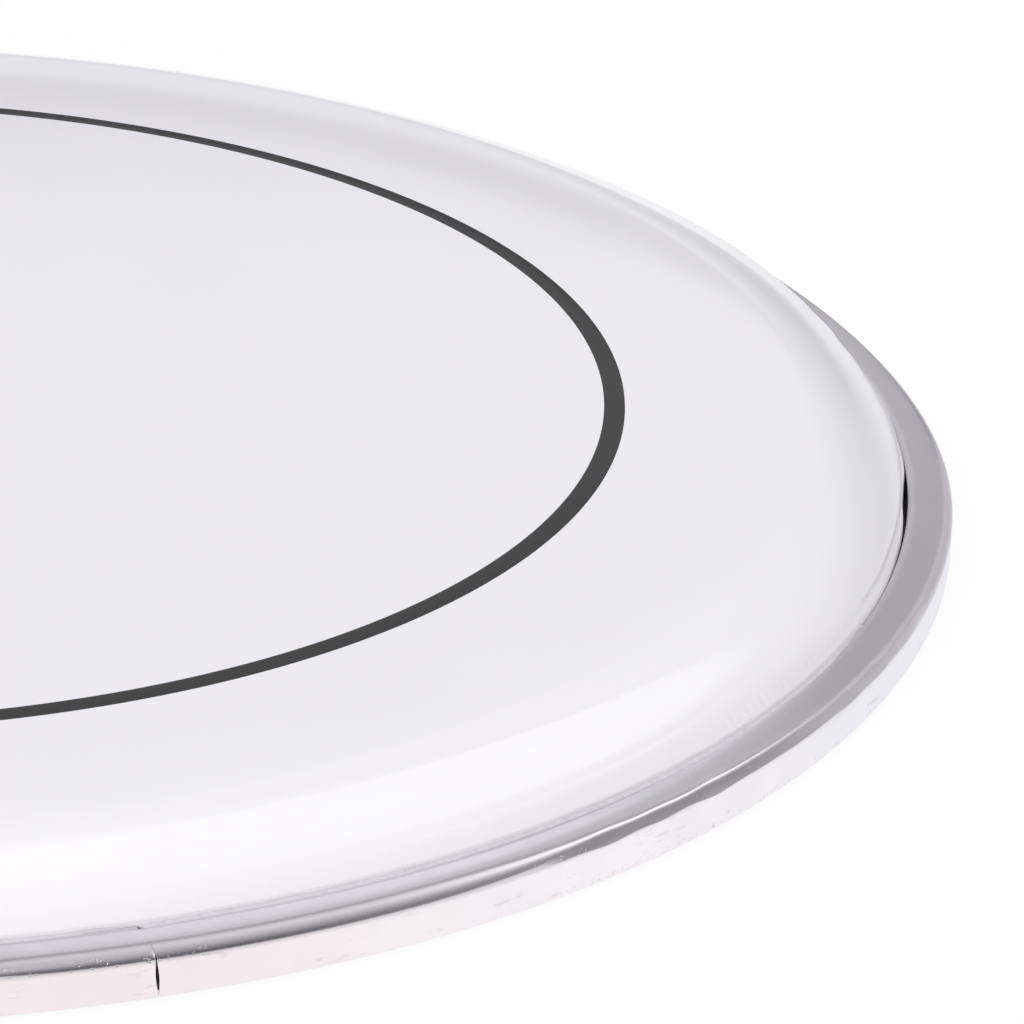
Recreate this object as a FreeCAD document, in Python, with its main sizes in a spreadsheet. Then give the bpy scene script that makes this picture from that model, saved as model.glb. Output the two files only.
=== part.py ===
import FreeCAD, Part
import math
import os
import Sketcher

# A fourteen-inch double-ply drum head, in millimetres. Two plies of polyester film are formed into a flat
# head with a rounded collar. Their rim is hooked round a steel ring inside a rolled aluminium channel, and
# resin cast into the channel holds it all. Z is the drum's axis and points out of the playing side, and the
# hoop stands on the plane z = 0. Every piece is turned about Z from its own outline of radius and height.

# The driving sizes: lengths in millimetres, angles in degrees.
SIZES = {
    # The film's inner face in the hoop, which goes over the drum's shell.
    "bore_diameter": 355.8,
    # The hoop's strip: lip, outer wall and foot, with the bends at the top and at the foot.
    "hoop_height": 8.0,
    "lip_width": 6.87,
    "strip_thickness": 0.9,
    "top_bend_radius": 1.4,
    "foot_bend_radius": 0.5,
    "seam_gap": 0.5,
    "seam_azimuth": -75.4,
    # The formed film: flat head, shoulder, short straight collar, neck above the lip.
    "top_ply_thickness": 0.19,
    "damping_thickness": 0.05,
    "bottom_ply_thickness": 0.19,
    "shoulder_radius": 22.6,
    "collar_angle": 52.0,
    "collar_straight": 0.5,
    "neck_radius": 2.0,
    # The hooked rim round the lock ring.
    "hook_radius": 0.6,
    "hook_end_drop": 0.5,
    "lock_ring_width": 2.4,
    "lock_ring_gap": 1.5,
    # The glue: a thin line between neighbours, and depths of resin and of the open slot above it.
    "glue_line": 0.05,
    "resin_cover": 0.9,
    "slot_depth": 1.6,
    "slot_width": 0.3,
    "sealant_break": 27.0,
    "sealant_break_azimuth": -13.0,
    # The printed ring on the playing side, measured in from the hoop's outside.
    "stripe_inset": 52.75,
    "stripe_width": 3.2,
    "ink_thickness": 0.04,
}

doc = FreeCAD.newDocument("drum_head")
sheet = doc.addObject("Spreadsheet::Sheet", "Sizes")
for row, (alias, value) in enumerate(SIZES.items(), start=1):
    sheet.set(f"A{row}", alias)
    sheet.set(f"B{row}", str(value))
    sheet.setAlias(f"B{row}", alias)
doc.recompute()

# Radii, from the bore outwards.
film_stack = "(Sizes.top_ply_thickness + Sizes.damping_thickness + Sizes.bottom_ply_thickness)"
skirt_radius = f"(Sizes.bore_diameter / 2 + {film_stack})"
lip_edge_radius = f"({skirt_radius} + Sizes.slot_width)"
hoop_radius = f"({lip_edge_radius} + Sizes.lip_width)"
channel_radius = f"({hoop_radius} - Sizes.strip_thickness)"
ring_inner_radius = f"({skirt_radius} + Sizes.glue_line)"
ring_outer_radius = f"({ring_inner_radius} + Sizes.lock_ring_width)"
hook_inner_radius = f"({ring_outer_radius} + Sizes.glue_line)"
hook_outer_radius = f"({hook_inner_radius} + {film_stack})"

# Heights, from the foot up to the head.
foot_top = "Sizes.strip_thickness"
lip_under = "(Sizes.hoop_height - Sizes.strip_thickness)"
resin_top = f"({lip_under} - Sizes.slot_depth)"
ring_top = f"({resin_top} - Sizes.resin_cover)"
film_floor = f"({foot_top} + Sizes.glue_line)"
hook_floor = f"({film_floor} + {film_stack})"
hook_centre_height = f"({hook_floor} + Sizes.hook_radius)"
hook_end_height = f"({ring_top} - Sizes.hook_end_drop)"
angle_sine = "sin(Sizes.collar_angle)"
angle_cosine = "cos(Sizes.collar_angle)"
collar_rise = (
    f"(Sizes.neck_radius * {angle_cosine} + Sizes.collar_straight * {angle_sine}"
    f" + Sizes.shoulder_radius * (1 - {angle_cosine}))"
)
head_height = f"(Sizes.hoop_height + {collar_rise})"
flat_radius = (
    f"({skirt_radius} - Sizes.neck_radius * (1 - {angle_sine})"
    f" - Sizes.collar_straight * {angle_cosine} - Sizes.shoulder_radius * {angle_sine})"
)


def arc_edge(start, end, radius, clockwise):
    """The arc of less than half a circle from start to end. A clockwise one is stored end first."""
    chord = end - start
    middle = (start + end) / 2
    rise = math.sqrt(max(radius**2 - (chord.Length / 2) ** 2, 0))
    side = FreeCAD.Vector(-chord.y, chord.x, 0).normalize()
    centre = middle - side * rise if clockwise else middle + side * rise
    first, last = (end, start) if clockwise else (start, end)
    circle = Part.Circle(centre, FreeCAD.Vector(0, 0, 1), radius)
    return Part.ArcOfCircle(
        circle,
        math.atan2(first.y - centre.y, first.x - centre.x),
        math.atan2(last.y - centre.y, last.x - centre.x),
    )


def draw_outline(sketch, corners):
    """Closed outline through corners of (radius, height) formulas, which the sketch's constraints follow.

    A corner of four starts an arc to the next corner: its last two are the arc's radius and turn.
    """
    points = []
    for corner in corners:
        place = [float(sketch.evalExpression(formula)) for formula in corner[:2]]
        points.append(FreeCAD.Vector(*place, 0))

    edges = []
    for number, corner in enumerate(corners):
        start = points[number]
        end = points[(number + 1) % len(points)]
        if len(corner) == 2:
            edge = sketch.addGeometry(Part.LineSegment(start, end), False)
            edges.append((edge, 1, 2))
            continue
        radius, turn = corner[2:]
        clockwise = turn == "clockwise"
        arc = arc_edge(start, end, float(sketch.evalExpression(radius)), clockwise)
        edge = sketch.addGeometry(arc, False)
        edges.append((edge, 2, 1) if clockwise else (edge, 1, 2))

    for number, (edge, _, end) in enumerate(edges):
        following, start, _ = edges[(number + 1) % len(edges)]
        sketch.addConstraint(Sketcher.Constraint("Coincident", edge, end, following, start))

    # A sketch's own axes are its geometry -1 (across) and -2 (up), and point 1 of the first is its origin.
    origin = (-1, 1)
    axes = {"DistanceX": -2, "DistanceY": -1}
    for number, corner in enumerate(corners):
        edge, start, _ = edges[number]
        for direction, formula, value in zip(axes, corner[:2], points[number]):
            if formula == "0":
                on_axis = Sketcher.Constraint("PointOnObject", edge, start, axes[direction])
                sketch.addConstraint(on_axis)
                continue
            distance = Sketcher.Constraint(direction, *origin, edge, start, value)
            index = sketch.addConstraint(distance)
            sketch.setExpression(f"Constraints[{index}]", formula)
        if len(corner) > 2:
            bend = Sketcher.Constraint("Radius", edge, float(sketch.evalExpression(corner[2])))
            index = sketch.addConstraint(bend)
            sketch.setExpression(f"Constraints[{index}]", corner[2])


def turned_piece(label, corners, gap_angle="0 deg", gap_azimuth="0"):
    """A body turned about Z from its outline. A gap is centred on its azimuth."""
    body = doc.addObject("PartDesign::Body", label)
    body.Label = label
    plane = next(item for item in body.Origin.OriginFeatures if item.Role == "XZ_Plane")
    sketch = body.newObject("Sketcher::SketchObject", f"{label}_outline")
    sketch.AttachmentSupport = [(plane, "")]
    sketch.MapMode = "FlatFace"
    draw_outline(sketch, corners)
    doc.recompute()
    turned = body.newObject("PartDesign::Revolution", f"{label}_turned")
    turned.Profile = sketch
    turned.ReferenceAxis = (sketch, ["V_Axis"])
    turned.Midplane = True
    turned.setExpression("Angle", f"360 deg - {gap_angle}")
    body.setExpression("Placement.Rotation.Angle", f"{gap_azimuth} + 180")
    body.Tip = turned
    return body


def flat_ring(inner_radius, outer_radius, low, high):
    """Outline of a ring with a square section."""
    return [(inner_radius, low), (outer_radius, low), (outer_radius, high), (inner_radius, high)]


def film_face(depth):
    """One face of the film, from the axis out to the hooked rim, at a depth below the playing side."""
    shoulder = f"(Sizes.shoulder_radius - {depth})"
    neck = f"(Sizes.neck_radius - {depth})"
    hook = f"(Sizes.hook_radius + {depth})"
    shoulder_height = f"({head_height} - Sizes.shoulder_radius)"
    neck_centre = f"({skirt_radius} - Sizes.neck_radius)"
    inner_bend = f"({skirt_radius} + Sizes.hook_radius)"
    outer_bend = f"({hook_inner_radius} - Sizes.hook_radius)"
    under_ring = f"({hook_floor} - {depth})"
    return [
        ("0", f"{head_height} - {depth}"),
        (flat_radius, f"{head_height} - {depth}", shoulder, "clockwise"),
        (f"{flat_radius} + {shoulder} * {angle_sine}", f"{shoulder_height} + {shoulder} * {angle_cosine}"),
        (
            f"{neck_centre} + {neck} * {angle_sine}",
            f"Sizes.hoop_height + {neck} * {angle_cosine}",
            neck,
            "clockwise",
        ),
        (f"{skirt_radius} - {depth}", "Sizes.hoop_height"),
        (f"{skirt_radius} - {depth}", hook_centre_height, hook, "anticlockwise"),
        (inner_bend, under_ring),
        (outer_bend, under_ring, hook, "anticlockwise"),
        (f"{hook_inner_radius} + {depth}", hook_centre_height),
        (f"{hook_inner_radius} + {depth}", hook_end_height),
    ]


def film_ply(outer_depth, inner_depth):
    """Outline of one ply: out along its outer face, and back along its inner face."""
    outline = film_face(outer_depth)
    back = film_face(inner_depth)[::-1]
    for number, corner in enumerate(back):
        ahead = back[number + 1] if number + 1 < len(back) else ()
        if len(ahead) > 2:
            turn = "clockwise" if ahead[3] == "anticlockwise" else "anticlockwise"
            outline.append((*corner[:2], ahead[2], turn))
        else:
            outline.append(corner[:2])
    return outline


# The hoop's strip lies on its side, mouth inwards: along the lip, down the wall, back along the foot.
top_bend = "(Sizes.top_bend_radius + Sizes.strip_thickness)"
foot_bend = "(Sizes.foot_bend_radius + Sizes.strip_thickness)"
hoop_channel = turned_piece(
    "hoop_channel",
    [
        (lip_edge_radius, "Sizes.hoop_height"),
        (f"{hoop_radius} - {top_bend}", "Sizes.hoop_height", top_bend, "clockwise"),
        (hoop_radius, f"Sizes.hoop_height - {top_bend}"),
        (hoop_radius, foot_bend, foot_bend, "clockwise"),
        (f"{hoop_radius} - {foot_bend}", "0"),
        (lip_edge_radius, "0"),
        (lip_edge_radius, foot_top),
        (f"{channel_radius} - Sizes.foot_bend_radius", foot_top, "Sizes.foot_bend_radius", "anticlockwise"),
        (channel_radius, f"{foot_top} + Sizes.foot_bend_radius"),
        (channel_radius, f"{lip_under} - Sizes.top_bend_radius", "Sizes.top_bend_radius", "anticlockwise"),
        (f"{channel_radius} - Sizes.top_bend_radius", lip_under),
        (lip_edge_radius, lip_under),
    ],
    f"2 * asin(Sizes.seam_gap / 2 / {hoop_radius})",
    "Sizes.seam_azimuth",
)

# The plies nest, and the damping layer fills the space between their flat parts, out from the stripe.
damping_depth = "(Sizes.top_ply_thickness + Sizes.damping_thickness)"
top_ply = turned_piece("top_ply", film_ply("0", "Sizes.top_ply_thickness"))
bottom_ply = turned_piece("bottom_ply", film_ply(damping_depth, film_stack))
stripe_radius = f"({hoop_radius} - Sizes.stripe_inset)"
damping_layer = turned_piece(
    "damping_layer",
    flat_ring(
        f"{stripe_radius} - Sizes.stripe_width / 2",
        flat_radius,
        f"{head_height} - {damping_depth}",
        f"{head_height} - Sizes.top_ply_thickness",
    ),
)
ring_stripe = turned_piece(
    "ring_stripe",
    flat_ring(
        f"{stripe_radius} - Sizes.stripe_width",
        stripe_radius,
        head_height,
        f"{head_height} + Sizes.ink_thickness",
    ),
)

# The lock ring lies in the film's hook. Its lower edges follow the hook, and its ends meet opposite the seam.
ring_edge = "(Sizes.hook_radius - Sizes.glue_line)"
ring_floor = f"({hook_floor} + Sizes.glue_line)"
lock_ring = turned_piece(
    "lock_ring",
    [
        (ring_inner_radius, ring_top),
        (ring_inner_radius, f"{ring_floor} + {ring_edge}", ring_edge, "anticlockwise"),
        (f"{ring_inner_radius} + {ring_edge}", ring_floor),
        (f"{ring_outer_radius} - {ring_edge}", ring_floor, ring_edge, "anticlockwise"),
        (ring_outer_radius, f"{ring_floor} + {ring_edge}"),
        (ring_outer_radius, ring_top),
    ],
    f"2 * asin(Sizes.lock_ring_gap / 2 / {ring_outer_radius})",
    "Sizes.seam_azimuth + 180",
)

# The resin fills the channel behind the hook and covers the ring. The slot above it stays open.
resin_outside = f"({channel_radius} - Sizes.glue_line)"
resin_behind = f"({hook_outer_radius} + Sizes.glue_line)"
resin_over_ring = f"({ring_top} + Sizes.glue_line)"
channel_resin = turned_piece(
    "channel_resin",
    [
        (resin_behind, film_floor),
        (f"{resin_outside} - Sizes.foot_bend_radius", film_floor, "Sizes.foot_bend_radius", "anticlockwise"),
        (resin_outside, f"{film_floor} + Sizes.foot_bend_radius"),
        (resin_outside, resin_top),
        (ring_inner_radius, resin_top),
        (ring_inner_radius, resin_over_ring),
        (resin_behind, resin_over_ring),
    ],
)

# The sealant closes the slot's mouth between the film and the lip, flush with the lip.
slot_sealant = turned_piece(
    "slot_sealant",
    flat_ring(
        f"{skirt_radius} + Sizes.glue_line",
        f"{lip_edge_radius} - Sizes.glue_line",
        lip_under,
        "Sizes.hoop_height",
    ),
    "Sizes.sealant_break * 1 deg",
    "Sizes.sealant_break_azimuth",
)

doc.recompute()
for item in doc.Objects:
    if "Invalid" in item.State or "Error" in item.State:
        raise RuntimeError(f"{item.Label} did not build: {item.State}")

pieces = [
    hoop_channel,
    lock_ring,
    channel_resin,
    slot_sealant,
    top_ply,
    bottom_ply,
    damping_layer,
    ring_stripe,
]
for piece in pieces:
    if piece.Shape.isNull() or not piece.Shape.isValid() or len(piece.Shape.Solids) != 1:
        raise RuntimeError(f"{piece.Label} is not one valid solid")

os.makedirs("parts", exist_ok=True)
for piece in pieces:
    piece.Shape.exportStep(f"parts/{piece.Label}.step")
    box = piece.Shape.optimalBoundingBox()
    print(
        f"{piece.Label}: volume {piece.Shape.Volume:.1f}, radius to {box.XMax:.3f},"
        f" height {box.ZMin:.3f} to {box.ZMax:.3f}"
    )
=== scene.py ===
import math
import random

import bmesh
import bpy
from mathutils import Matrix


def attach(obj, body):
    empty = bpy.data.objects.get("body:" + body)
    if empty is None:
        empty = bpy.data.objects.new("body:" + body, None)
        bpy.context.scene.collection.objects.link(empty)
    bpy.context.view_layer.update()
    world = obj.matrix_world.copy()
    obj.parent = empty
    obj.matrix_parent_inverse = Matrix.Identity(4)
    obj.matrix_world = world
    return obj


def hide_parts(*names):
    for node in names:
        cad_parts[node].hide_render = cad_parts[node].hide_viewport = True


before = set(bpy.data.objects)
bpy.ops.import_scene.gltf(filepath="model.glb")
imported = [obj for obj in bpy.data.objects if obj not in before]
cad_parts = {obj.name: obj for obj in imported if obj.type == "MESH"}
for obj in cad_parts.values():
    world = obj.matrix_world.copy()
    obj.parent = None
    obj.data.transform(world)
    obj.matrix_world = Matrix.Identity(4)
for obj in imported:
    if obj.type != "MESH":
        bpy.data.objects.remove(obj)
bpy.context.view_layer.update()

bpy.context.scene.view_settings.view_transform = "Standard"


# Hoop: aluminium strip, roll formed into a channel whose mouth faces the film, then bent into a ring.
# Its ends butt at one seam, which has sprung open in the wall. The channel holds all the other pieces.
MM = 0.001
TOUCH = 0.001 * MM
SLICES = 24
RING_STEPS = 720
HOOP_RADIUS = 185.5
HOOP_HEIGHT = 8.0
STRIP = 0.9
LIP_EDGE = 178.63
TOP_BEND = 2.3
FOOT_BEND = 1.4
LIP_ROUND = 0.45
EDGE_ROUND = 0.2
SEAM_AZIMUTH = -75.4
SEAM_GAP = 0.5
SEAM_ZONE = 2.0
SEAM_STEPS = 24


def trace_section(bm, start, runs):
    """Draws a section in the XZ plane in mm: a run is a point, or an arc's centre, degrees and steps."""
    tip = bm.verts.new((start[0] * MM, 0, start[1] * MM))
    for run in runs:
        if len(run) == 2:
            tip = bmesh.ops.extrude_vert_indiv(bm, verts=[tip])["verts"][0]
            tip.co = (run[0] * MM, 0, run[1] * MM)
        else:
            radius, height, degrees, steps = run
            turned = bmesh.ops.spin(bm, geom=[tip], cent=(radius * MM, 0, height * MM), axis=(0, 1, 0),
                                    angle=math.radians(degrees), steps=steps)
            tip = [v for v in turned["geom_last"] if isinstance(v, bmesh.types.BMVert)][0]
    bmesh.ops.remove_doubles(bm, verts=bm.verts, dist=TOUCH)


def turn_round(bm, degrees, steps):
    """Turns the section round the drum's axis: one slice is spun, then copied round and joined."""
    share = math.radians(degrees / SLICES)
    bmesh.ops.spin(bm, geom=bm.verts[:] + bm.edges[:], cent=(0, 0, 0), axis=(0, 0, 1), angle=share,
                   steps=steps // SLICES)
    bmesh.ops.spin(bm, geom=bm.verts[:] + bm.edges[:] + bm.faces[:], cent=(0, 0, 0), axis=(0, 0, 1),
                   angle=share * (SLICES - 1), steps=SLICES - 1, use_duplicate=True)
    bmesh.ops.remove_doubles(bm, verts=bm.verts, dist=TOUCH)


def finish_piece(name, bm, material, node):
    """Makes the mesh an object that stands for a CAD node, with smooth faces and its finish."""
    bmesh.ops.recalc_face_normals(bm, faces=bm.faces)
    for face in bm.faces:
        face.smooth = True
    mesh = bpy.data.meshes.new(name)
    bm.to_mesh(mesh)
    bm.free()
    mesh.materials.append(material)
    piece = bpy.data.objects.new(name, mesh)
    bpy.context.scene.collection.objects.link(piece)
    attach(piece, "root")
    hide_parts(node)


def linear(hex_colour):
    """An sRGB hex colour as linear RGBA."""
    parts = [int(hex_colour[i:i + 2], 16) / 255 for i in (1, 3, 5)]
    return [p / 12.92 if p <= 0.04045 else ((p + 0.055) / 1.055) ** 2.4 for p in parts] + [1]


def add_node(tree, kind, inputs, **settings):
    """Adds a node with its settings, and sets or links its inputs."""
    node = tree.nodes.new("ShaderNode" + kind)
    for name, value in settings.items():
        setattr(node, name, value)
    for socket, value in inputs.items():
        if isinstance(value, bpy.types.NodeSocket):
            tree.links.new(value, node.inputs[socket])
        else:
            node.inputs[socket].default_value = value
    return node


def new_material(name):
    """An empty node material and its tree."""
    material = bpy.data.materials.new(name)
    material.use_nodes = True
    material.node_tree.nodes.clear()
    return material, material.node_tree


def smooth_step(low, high, value):
    """A smooth rise from 0 at low to 1 at high, or a fall where high is the smaller."""
    t = min(max((value - low) / (high - low), 0), 1)
    return t * t * (3 - 2 * t)


def bump_at(degrees, peak, before, after):
    """A smooth hump round the ring, 1 at its peak and 0 beyond its reach on either side."""
    reach = before if degrees < peak else after
    return math.cos(math.pi / 2 * min(abs(degrees - peak) / reach, 1)) ** 2


def make_waves(seed, counts):
    """A wavy line round the ring, from -1 to 1, made of whole waves so that it closes."""
    draw = random.Random(seed)
    waves = [(n, draw.uniform(0, math.tau), draw.uniform(0.5, 1)) for n in counts]
    total = sum(w[2] for w in waves)
    return lambda azimuth: sum(s * math.sin(n * azimuth + p) for n, p, s in waves) / total


def seam_turn(vert):
    """Degrees round the ring from the seam, from -180 to 180."""
    turn = math.degrees(math.atan2(vert.co.y, vert.co.x)) - SEAM_AZIMUTH
    return turn - 360 * round(turn / 360)


FLAT_DEPTH = 2.1
SHARP_CORNER = 1.6
FACET_CORNER = 0.9
FACET_TILT = 28
FACET_FOOT = 6.3
FACET_WAVE = 0.4


def flat_side(radius, degrees):
    """How far the ring's outer part stands in on the side where it is a little flat, in mm."""
    return FLAT_DEPTH * smooth_step(178.7, 183, radius) * bump_at(degrees, 22, 34, 48)


corner_waves = make_waves(3, (37, 52, 71, 97, 113))


def sharper_bend(turn, degrees):
    """How far a point of the top bend's outside moves where the bend is sharper, in mm. From the near right
    round to the far side it turns in a smaller corner, and on one stretch a steep facet lies under it."""
    share = smooth_step(-64, -52, degrees) * smooth_step(60, 10, degrees)
    facet = smooth_step(-62, -52, degrees) * smooth_step(-16, -26, degrees)
    lean = FACET_TILT * facet
    tilt = math.radians(lean)
    corner = SHARP_CORNER - (SHARP_CORNER - FACET_CORNER) * facet
    facet_top = HOOP_HEIGHT - corner + corner * math.sin(tilt)
    facet_foot = FACET_FOOT + FACET_WAVE * corner_waves(math.radians(degrees))
    facet_radius = HOOP_RADIUS - math.tan(tilt) * (facet_top - facet_foot)
    on_facet = max((turn - 90 + lean) / (lean + 0.01), 0)
    angle = math.radians(min(turn, 90 - lean))
    radius = facet_radius - corner * math.cos(tilt) + corner * math.sin(angle)
    height = HOOP_HEIGHT - corner + corner * math.cos(angle)
    radius += on_facet * (HOOP_RADIUS - facet_radius)
    height += on_facet * (facet_foot - facet_top)
    plain = (HOOP_RADIUS - TOP_BEND + TOP_BEND * math.sin(math.radians(turn)),
             HOOP_HEIGHT - TOP_BEND + TOP_BEND * math.cos(math.radians(turn)))
    return share * (radius - plain[0]), share * (height - plain[1])


hoop = bmesh.new()
top_centre = (HOOP_RADIUS - TOP_BEND, HOOP_HEIGHT - TOP_BEND)
foot_centre = (HOOP_RADIUS - FOOT_BEND, FOOT_BEND)
lip_rings = [(r, HOOP_HEIGHT) for r in (179.8, 180.7, 181.6, 182.4, top_centre[0])]
wall_rings = [(HOOP_RADIUS, h) for h in (4.8, 3.8, 2.9, 2.1, FOOT_BEND)]
trace_section(hoop, (LIP_EDGE + LIP_ROUND, HOOP_HEIGHT), [
    *lip_rings, (*top_centre, 90, 30), *wall_rings, (*foot_centre, 90, 8), (LIP_EDGE + EDGE_ROUND, 0),
    (LIP_EDGE + EDGE_ROUND, EDGE_ROUND, 90, 3), (LIP_EDGE, STRIP - EDGE_ROUND),
    (LIP_EDGE + EDGE_ROUND, STRIP - EDGE_ROUND, 90, 3), (foot_centre[0], STRIP), (*foot_centre, -90, 4),
    (HOOP_RADIUS - STRIP, top_centre[1]), (*top_centre, -90, 5), (LIP_EDGE + EDGE_ROUND, HOOP_HEIGHT - STRIP),
    (LIP_EDGE + EDGE_ROUND, HOOP_HEIGHT - STRIP + EDGE_ROUND, 90, 3), (LIP_EDGE, HOOP_HEIGHT - LIP_ROUND),
    (LIP_EDGE + LIP_ROUND, HOOP_HEIGHT - LIP_ROUND, 90, 6),
])
half_gap = math.degrees(SEAM_GAP / HOOP_RADIUS) / 2
bmesh.ops.rotate(hoop, verts=hoop.verts, cent=(0, 0, 0),
                 matrix=Matrix.Rotation(math.radians(SEAM_AZIMUTH + half_gap + SEAM_ZONE), 3, "Z"))
turn_round(hoop, 360 - 2 * half_gap - 2 * SEAM_ZONE, RING_STEPS)
for side in (1, -1):
    end = [e for e in hoop.edges if e.is_boundary and seam_turn(e.verts[0]) * side > 0]
    bmesh.ops.spin(hoop, geom=list({v for e in end for v in e.verts}) + end, cent=(0, 0, 0), axis=(0, 0, 1),
                   angle=math.radians(-side * SEAM_ZONE), steps=SEAM_STEPS)
ends = bmesh.ops.holes_fill(hoop, edges=[e for e in hoop.edges if e.is_boundary], sides=0)["faces"]
for edge in [e for face in ends for e in face.edges]:
    edge.smooth = False

# The strip isn't true: its lip is wavy, and crowned or dished by a tenth of a millimetre. Its top bend is
# tighter on one stretch and dented by handling, and the ring is a little flat on one side. At the seam the
# ends don't line up, the lip's edge has a step, the wall has sprung open and a small burr stands up.
SEAM_TIGHT = 0.004
SEAM_WALL = 0.05
SEAM_SPRUNG = 0.21
SEAM_INSIDE = 0.45
SEAM_SLANT = 1.2
SEAM_SHIFT = 0.75
SEAM_REACH = 2.5
LIP_STEP = 0.45
STEP_PAST = 4
STEP_AHEAD = 7
LIP_WAVE = 0.06
LIP_REACH = 0.38
LIP_CROWN = 0.12
LIP_DISH = 0.12
TIGHTER_BEND = 1.3
DENT = 0.03
DEEPER_DENT = 0.1
BURR = 0.08
BURR_REACH = 0.12
NEAR = 0.01


def lip_step(from_seam):
    """How far the lip's inner edge stands out past the seam, or in ahead of it, in mm."""
    if from_seam > 0:
        return LIP_STEP * max(1 - from_seam / STEP_PAST, 0) ** 2
    return -LIP_STEP * max(1 + from_seam / STEP_AHEAD, 0) ** 2


lip_waves = make_waves(5, (7, 11, 17, 29, 61, 97, 142))
for vert in hoop.verts:
    radius = vert.co.xy.length / MM
    height = vert.co.z / MM
    azimuth = math.atan2(vert.co.y, vert.co.x)
    degrees = math.degrees(azimuth)
    from_seam = seam_turn(vert)
    side = math.copysign(1, from_seam)
    from_centre = (radius - top_centre[0], height - top_centre[1])
    along = (radius - height - LIP_EDGE + HOOP_HEIGHT) / (HOOP_RADIUS - LIP_EDGE + HOOP_HEIGHT)
    in_wall = smooth_step(HOOP_RADIUS - 0.1, HOOP_RADIUS - STRIP, radius)
    opened = SEAM_TIGHT + SEAM_WALL * smooth_step(7.6, 6.2, height)
    opened += SEAM_SPRUNG * math.exp(-((height - 3.6) / 1.8) ** 2)
    opened += SEAM_INSIDE * in_wall * smooth_step(6.5, 5.5, height)
    slide = side * (opened - SEAM_GAP / 2) + SEAM_SLANT * along - SEAM_SHIFT
    azimuth += max(1 - abs(from_seam) / SEAM_REACH, 0) ** 2 * slide / radius
    outside = smooth_step(LIP_EDGE + 4, HOOP_RADIUS - 0.2, radius)
    upper = smooth_step(4.5, 7, height)
    lip_inside = upper * smooth_step(182.0, LIP_EDGE, radius)
    radius += lip_inside * lip_step(from_seam)
    radius += lip_inside * (LIP_WAVE * lip_waves(azimuth) - LIP_REACH * bump_at(degrees, -12, 30, 16))
    radius -= flat_side(radius, degrees)
    height -= upper * LIP_CROWN * smooth_step(180.4, 183.4, radius) ** 2 * smooth_step(-34, -14, degrees)
    height -= upper * LIP_DISH * smooth_step(182.8, LIP_EDGE, radius) * bump_at(degrees, -54, 18, 18)
    if radius > top_centre[0] - NEAR and height > top_centre[1] - NEAR:
        tighter = TIGHTER_BEND * bump_at(degrees, -88, 26, 9)
        sine = (radius - top_centre[0]) / TOP_BEND
        cosine = (height - top_centre[1]) / TOP_BEND
        radius += tighter * max(1 - sine, 0)
        height += tighter * max(1 - cosine, 0)
    if min(from_centre) > -NEAR and math.hypot(*from_centre) > TOP_BEND - NEAR:
        outwards, upwards = sharper_bend(math.degrees(math.atan2(*from_centre)), degrees)
        radius += outwards
        height += upwards
    dent = outside * upper * (DENT + DEEPER_DENT * bump_at(degrees, -42, 20, 18))
    radius -= dent * (0.6 + 0.4 * corner_waves(azimuth))
    height -= dent * (0.6 + 0.4 * corner_waves(azimuth + 0.8))
    burr = BURR * math.exp(-(from_seam / BURR_REACH) ** 2) * outside * smooth_step(1.4, 2.2, height)
    radius += burr * smooth_step(7.9, 6.5, height)
    height += burr * upper
    radius = min(radius, HOOP_RADIUS)
    vert.co = (radius * math.cos(azimuth) * MM, radius * math.sin(azimuth) * MM, height * MM)

# Bright aluminium strip: faint drawn lines run round the hoop, coarser than real ones so that they show.
# Bending left the top bend rougher and pitted. Its colour holds painted shade, darker on the near left and
# lighter at the right end, which sets how bright the soft box's reflection shows in it. The lip's colour
# holds painted shade too, darker at the left, and at the right end darker towards the near side. The wall's
# colour holds a painted reflection tint, a trace pinkish at the left and bluer at the right. Handling left
# soft smudges in its gloss, a few short scuffs and dark specks near its foot, and it rubbed the lip's edge
# matt.
aluminium, tree = new_material("rolled_aluminium")
place = add_node(tree, "TexCoord", {}).outputs["Object"]
split = add_node(tree, "SeparateXYZ", {"Vector": place}).outputs
flat = add_node(tree, "CombineXYZ", {"X": split["X"], "Y": split["Y"]}).outputs["Vector"]
ring_radius = add_node(tree, "VectorMath", {0: flat}, operation="LENGTH").outputs["Value"]
across = add_node(tree, "Math", {0: ring_radius, 1: split["Z"]}, operation="SUBTRACT").outputs["Value"]
heading = add_node(tree, "VectorMath", {0: flat}, operation="NORMALIZE").outputs["Vector"]
lines_per_metre = 1 / (0.25 * MM)
waves_per_turn = HOOP_RADIUS / 40
round_hoop = add_node(tree, "VectorMath", {0: heading, 1: [waves_per_turn] * 3},
                      operation="MULTIPLY").outputs["Vector"]
line_count = add_node(tree, "Math", {0: across, 1: lines_per_metre}, operation="MULTIPLY").outputs["Value"]
lifted = add_node(tree, "CombineXYZ", {"Z": line_count}).outputs["Vector"]
line_place = add_node(tree, "VectorMath", {0: round_hoop, 1: lifted}, operation="ADD").outputs["Vector"]
lines = add_node(tree, "TexNoise", {"Vector": line_place, "Scale": 1, "Detail": 3}).outputs["Fac"]
smudges = add_node(tree, "TexNoise", {"Vector": place, "Scale": 1 / (9 * MM), "Detail": 5}).outputs["Fac"]
pits = add_node(tree, "TexNoise", {"Vector": place, "Scale": 1 / (0.6 * MM), "Detail": 1}).outputs["Fac"]
pit_patches = add_node(tree, "TexNoise", {"Vector": place, "Scale": 1 / (14 * MM),
                                          "Detail": 1}).outputs["Fac"]
scuff_place = add_node(tree, "Mapping", {"Vector": place, "Scale": [1, 1, 3.5]}).outputs["Vector"]
scuffs = add_node(tree, "TexNoise", {"Vector": scuff_place, "Scale": 1 / (6 * MM),
                                     "Detail": 3}).outputs["Fac"]
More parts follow.
